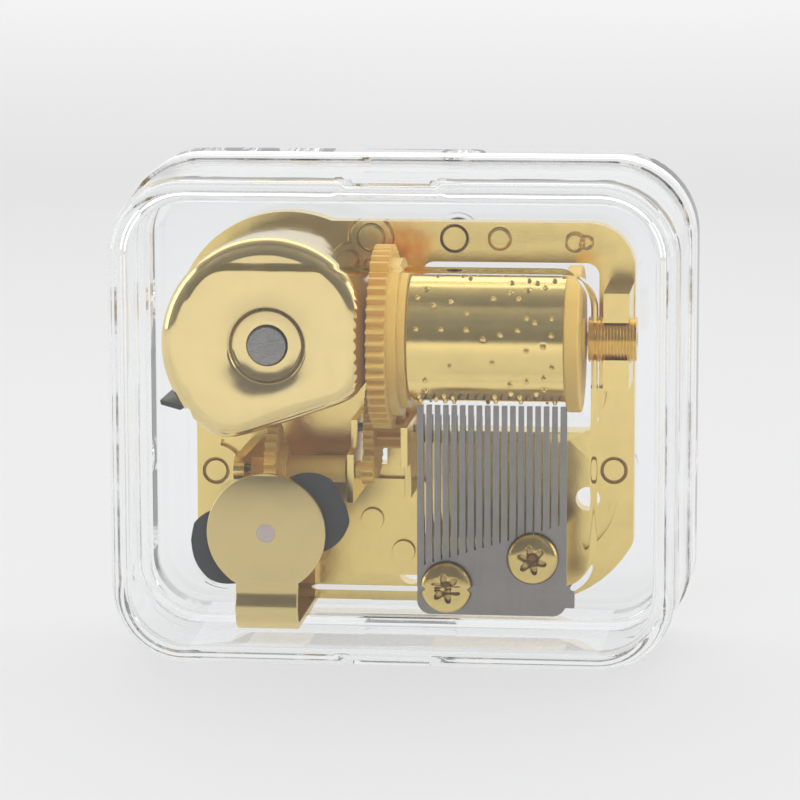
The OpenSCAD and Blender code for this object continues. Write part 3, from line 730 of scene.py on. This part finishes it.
class MUSICBOX_OT_pressings(bpy.types.Operator):
    """Adds the pressed spring housing and the governor's cap"""

    bl_idname = "musicbox.pressings"
    bl_label = "Pressings"

    def execute(self, context):
        sizes, colours = context.scene.movement_sizes, context.scene.music_colours
        polished = plated("Polished plating", colours.pale_gold, 0.07, 0.0015, 9, 0.10, 0.05)
        satin = plated("Satin plating", colours.pale_gold, 0.30, 0.004, 14, 0.2, 0.04)
        body = NODES["spring_housing"]["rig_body"]
        dress(put("housing_shell", housing(sizes), body, ("spring_housing",), close_v=True),
              polished)
        dress(put("governor_strip", governor_cap(sizes), "frame", ("governor_bracket",)),
              satin)
        return {"FINISHED"}


class MUSICBOX_OT_turnings(bpy.types.Operator):
    """Adds the pinned sleeve, the threaded bush and the comb screws"""

    bl_idname = "musicbox.turnings"
    bl_label = "Turned parts"

    def execute(self, context):
        sizes, colours = context.scene.movement_sizes, context.scene.music_colours
        bright = plated("Bright plating", colours.gold, 0.10, 0.006, 9, 0.3, 0.004)
        thread = plated("Thread plating", colours.gold, 0.22, 0.002, 10, 0.3)
        dress(put("sleeve_with_pins", sleeve(sizes), "cylinder", ("pinned_cylinder",), close_v=True, sharp=60), bright)
        dress(put("threaded_bush", bush(sizes), "frame", ("bearing_bush",), close_v=True, sharp=70), thread)
        left, right = low("comb_screws"), high("comb_screws")
        head = sizes.head_r
        screws = [comb_screw(sizes, left[0] + head, left[2] + head),
                  comb_screw(sizes, right[0] - head, right[2] - head)]
        dress(put("comb_screw_pair", screws, "frame", ("comb_screws",), sharp=50),
              screw_plating_with_painted_shade())
        return {"FINISHED"}


def screw_plating_with_painted_shade():
    """Plating with painted shade: it darkens with depth in the screws' recesses, where shade falls."""
    colours = bpy.context.scene.music_colours
    finish = plated("Screw plating with painted shade", colours.gold, 0.17, 0.002, 9, 0.2)
    face = low("comb")[1]
    depth = finish.node("ShaderNodeSeparateXYZ", None, finish.spot, out="Y")
    # painted shade: deep in each recess the base colour turns dark brown, where shade falls
    shadow = finish.ramp(depth, face - 0.95, face - 0.35)
    finish.set(Base_Color=finish.mix(shadow, shade(colours.gold, 0.8), (0.22, 0.11, 0.03, 1)))
    return finish


# Middles (x, z) and radii of the lines pressed round the bedplate's bosses, in millimetres
BOSS_LINES = ((-4.4, 45.9, 1.5), (-4.4, 45.9, 2.5), (5.2, 45.9, 1.5), (10.4, 45.9, 1.2), (19.0, 45.6, 1.0),
              (20.3, 45.6, 0.7), (23.6, 19.3, 1.4), (-22.6, 18.5, 1.4))


def bedplate_plating():
    """Cast plating with a line pressed round each boss and painted dark as the shade in its groove, and an orange
    patch by the cylinder's gear.

    The line's strength falls off with the distance from a circle of the boss's radius.
    """
    gold = bpy.context.scene.music_colours.gold
    finish = plated("Cast plating", gold, 0.17, 0.010, 5, 0.5, 0.05)
    flat = finish.node("ShaderNodeVectorMath", {"operation": "MULTIPLY"}, finish.spot, (1, 0, 1))

    def away(x, z):
        return finish.node("ShaderNodeVectorMath", {"operation": "DISTANCE"}, flat, (x, 0, z), out="Value")

    lines = 0.0
    for x, z, r in BOSS_LINES:
        lines = 1 - finish.ramp(abs(away(x, z) - r), 0.03, 0.2) + lines
    lines = finish.ramp(lines, 0, 1)
    clouds = finish.noise(0.35, 4)
    tone = finish.mix(clouds, shade(gold, 0.82), shade(gold, 1.08))
    # an orange patch, cloudy at its edge, by the cylinder's gear
    stain = (1 - finish.ramp(away(-0.5, 45.0), 1.5, 5.0)) * finish.ramp(finish.noise(0.5, 4), 0.35, 0.6) * 0.8
    tone = finish.mix(stain, tone, (0.80, 0.36, 0.05, 1))
    # painted shade: the pressed lines are darkened in the base colour, as the shade in their grooves
    finish.set(Base_Color=finish.mix(lines * 0.5, tone, (0.20, 0.12, 0.03, 1)))
    finish.bump(finish.noise(5, 3) * 0.010 + finish.noise(0.28, 1) * 0.05 - lines * 0.12, 1.0)
    return finish


class MUSICBOX_OT_carried(bpy.types.Operator):
    """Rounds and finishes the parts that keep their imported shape"""

    bl_idname = "musicbox.carried"
    bl_label = "Packed parts"

    def execute(self, context):
        colours = context.scene.music_colours
        cast = bedplate_plating()
        stamped = plated("Stamped plating", colours.gold, 0.2, 0.003, 8, 0.3, 0.03)
        amber = moulded("Amber moulding", colours.amber, 0.32, 0.35)
        fan = moulded("Dark moulding", colours.fan, 0.38)
        jewel = moulded("Jewel", colours.jewel, 0.12, 0.3)
        comb_steel = brushed("Comb steel", colours.comb, 0.30, (1.6, 1, 0.06))
        steel = brushed("Shaft steel", colours.steel, 0.22, (0.1, 1, 1))
        bright_steel = brushed("Nickelled steel", shade(colours.steel, 2.4)[:3], 0.2, (1, 0.1, 1))
        dark = brushed("Spring steel", colours.dark, 0.3, (1, 0.1, 1))
        plan = {
            "bedplate": (cast, "gold", 0.16), "gear_bracket": (stamped, "gold", 0.1),
            "bracket_screws": (stamped, "gold", 0.1), "governor_rivets": (stamped, "gold", 0.1),
            "winding_key": (stamped, "gold", 0.2), "great_wheel": (amber, "amber", 0.06),
            "cylinder_gear": (amber, "amber", 0.07), "cylinder_end_cap": (amber, "amber", 0.2),
            "second_wheel": (amber, "amber", 0.05), "worm_wheel": (amber, "amber", 0.04),
            "comb": (comb_steel, "comb_steel", 0.05), "comb_weights": (dark, "lead", 0.05),
            "winding_arbor": (steel, "steel", 0.15), "clutch_spring": (steel, "steel", 0.05),
            "cylinder_arbor": (steel, "steel", 0.08), "second_wheel_pin": (steel, "steel", 0.08),
            "worm_wheel_pin": (steel, "steel", 0.08), "governor_worm": (steel, "steel", 0),
            "movement_screws": (bright_steel, "steel", 0.1), "mainspring": (dark, "dark_steel", 0.03),
            "air_brake": (fan, "black_plastic", 0.1), "front_jewel": (jewel, "jewel", 0.12),
            "rear_jewel": (jewel, "jewel", 0.12),
        }
        for node, (finish, slot, bevel) in plan.items():
            smooth_copy(node, NODES[node]["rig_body"], finish, bevel)
        return {"FINISHED"}


# ---------- studio ----------


class MUSICBOX_OT_studio(bpy.types.Operator):
    """Adds the floor, the backdrop, soft lights and the camera"""

    bl_idname = "musicbox.studio"
    bl_label = "Studio"

    def execute(self, context):
        scene = context.scene
        backdrop(scene.music_colours.backdrop)
        sky(scene)
        soft_light("Top light", (0.0, 0.26, 0.36), (0, 0.0, 0.03), (0.80, 0.28), 0.6)
        soft_light("Left light", (-0.55, 0.05, 0.20), (0, 0, 0.03), (0.30, 0.35), 0.6)
        soft_light("Right light", (0.55, 0.02, 0.20), (0, 0, 0.03), (0.30, 0.35), 0.5)
        fill = soft_light("Floor light", (0.0, -0.45, 0.60), (0, -0.08, 0.01), (0.5, 0.3), 2.8)
        fill.visible_glossy = fill.visible_transmission = False
        camera(scene)
        return {"FINISHED"}


def backdrop(rgb):
    """A floor that sweeps up into a wall: a straight run, a quarter circle and a straight rise. It glows with painted
    light, brighter up the wall and on the floor in front of the case.
    """
    radius, wall = 0.30, 0.75
    a = arc(0, 90, 24)
    y = np.concatenate([[-1.6, 0.0], wall - radius + radius * np.sin(a), [wall]])
    z = np.concatenate([[0, 0], radius - radius * np.cos(a), [1.6]])
    grid = np.stack([np.stack([0 * y + x, y, z], axis=1) for x in (-1.8, 1.8)])
    count = len(y)
    mesh = bpy.data.meshes.new("Backdrop")
    faces = [(k, count + k, count + k + 1, k + 1) for k in range(count - 1)]
    mesh.from_pydata(grid.reshape(-1, 3).tolist(), [], faces)
    mesh.polygons.foreach_set("use_smooth", np.ones(len(faces), bool))
    sweep = bpy.data.objects.new("backdrop", mesh)
    bpy.context.scene.collection.objects.link(sweep)
    # painted light: the paper glows, more up the wall and most on the floor in front of the case, where the glow
    # lights the metal parts like a lamp
    paper = Finish("Backdrop paper with painted glow", Roughness=0.75, Emission_Strength=0.82)
    rise = paper.ramp(paper.node("ShaderNodeSeparateXYZ", None, paper.spot, out=2), 0, 40)
    painted_front_glow = paper.ramp(paper.node("ShaderNodeSeparateXYZ", None, paper.spot, out=1), -80, -200)
    glow = paper.mix(rise, shade(rgb, 0.86), shade(rgb, 1.12))
    paper.set(Base_Color=paper.mix(paper.noise(0.02, 3), shade(rgb, 0.24), shade(rgb, 0.26)),
              Emission_Color=paper.mix(painted_front_glow, glow, shade(rgb, 1.15)))
    dress(sweep, paper)


def sky(scene):
    """Pale air round the object that grows dark in front of it, where the room beyond the table is."""
    world = bpy.data.worlds.new("Studio air")
    world.use_nodes = True
    nodes = Nodes(world.node_tree)
    spot = nodes.node("ShaderNodeTexCoord", out="Generated")
    depth = nodes.node("ShaderNodeSeparateXYZ", None, spot, out="Y")
    smooth = {"interpolation_type": "SMOOTHSTEP"}
    light = nodes.node("ShaderNodeMapRange", smooth, depth, -0.3, 0.5, 0.16, 0.62)
    air = world.node_tree.nodes["Background"]
    nodes.feed(air.inputs["Color"], (1, 1, 1, 1))
    nodes.feed(air.inputs["Strength"], light)
    scene.world = world


def soft_light(name, spot, aim, size, power):
    """A rectangular soft box that faces a point."""
    lamp = bpy.data.lights.new(name, "AREA")
    lamp.shape, lamp.size, lamp.size_y, lamp.energy = "RECTANGLE", *size, power
    holder = bpy.data.objects.new(name, lamp)
    holder.location = spot
    holder.rotation_euler = (Vector(aim) - Vector(spot)).to_track_quat("-Z", "Y").to_euler()
    bpy.context.scene.collection.objects.link(holder)
    return holder


def camera(scene):
    """A long lens, slightly above the case and to its left, aimed at the middle of the case."""
    yaw, pitch, roll = math.radians(6.342), math.radians(8.997), math.radians(-0.125)
    distance, aim = 0.4499, Vector((0, 0, 0.027))
    forward = Vector((-math.sin(yaw) * math.cos(pitch), math.cos(yaw) * math.cos(pitch), -math.sin(pitch)))
    right = Vector((math.cos(yaw), math.sin(yaw), 0))
    turn = Matrix((right, right.cross(forward), -forward)).transposed() @ Matrix.Rotation(roll, 3, "Z")
    lens = bpy.data.cameras.new("Camera")
    lens.lens, lens.sensor_width = 178.65, 36
    lens.clip_start, lens.clip_end = 0.01, 10
    lens.shift_x, lens.shift_y = -0.0034, 0.0133
    holder = bpy.data.objects.new("Camera", lens)
    holder.matrix_world = Matrix.Translation(aim - forward * distance) @ turn.to_4x4()
    scene.collection.objects.link(holder)
    scene.camera = holder


# ---------- add-on ----------


class MUSICBOX_PT_panel(bpy.types.Panel):
    """Lists the music box's groups of parts"""

    bl_label = "Music Box"
    bl_idname = "MUSICBOX_PT_panel"
    bl_space_type = "VIEW_3D"
    bl_region_type = "UI"
    bl_category = "Music Box"

    def draw(self, context):
        for operator in OPERATORS:
            self.layout.operator(operator.bl_idname)
        for group in ("case_sizes", "movement_sizes", "music_colours"):
            for key in getattr(context.scene, group).bl_rna.properties.keys()[2:]:
                self.layout.prop(getattr(context.scene, group), key)


GROUPS = {"case_sizes": CaseSizes, "movement_sizes": MovementSizes, "music_colours": Colours}
OPERATORS = (MUSICBOX_OT_case, MUSICBOX_OT_pressings, MUSICBOX_OT_turnings, MUSICBOX_OT_carried,
             MUSICBOX_OT_studio)


def register():
    """Registers the classes and hangs the sizes and colours on the scene."""
    for kind in (*GROUPS.values(), *OPERATORS, MUSICBOX_PT_panel):
        bpy.utils.register_class(kind)
    for name, group in GROUPS.items():
        setattr(bpy.types.Scene, name, PointerProperty(type=group))


def unregister():
    """Undoes register."""
    for name in GROUPS:
        delattr(bpy.types.Scene, name)
    for kind in (MUSICBOX_PT_panel, *reversed(OPERATORS), *reversed(GROUPS.values())):
        bpy.utils.unregister_class(kind)


def main():
    register()
    scene = bpy.context.scene
    scene.view_settings.view_transform = "Standard"
    paths = scene.cycles
    paths.max_bounces = paths.transmission_bounces = paths.glossy_bounces = 32
    for piece in ("case", "pressings", "turnings", "carried", "studio"):
        getattr(bpy.ops.musicbox, piece)()


if __name__ == "__main__":
    main()
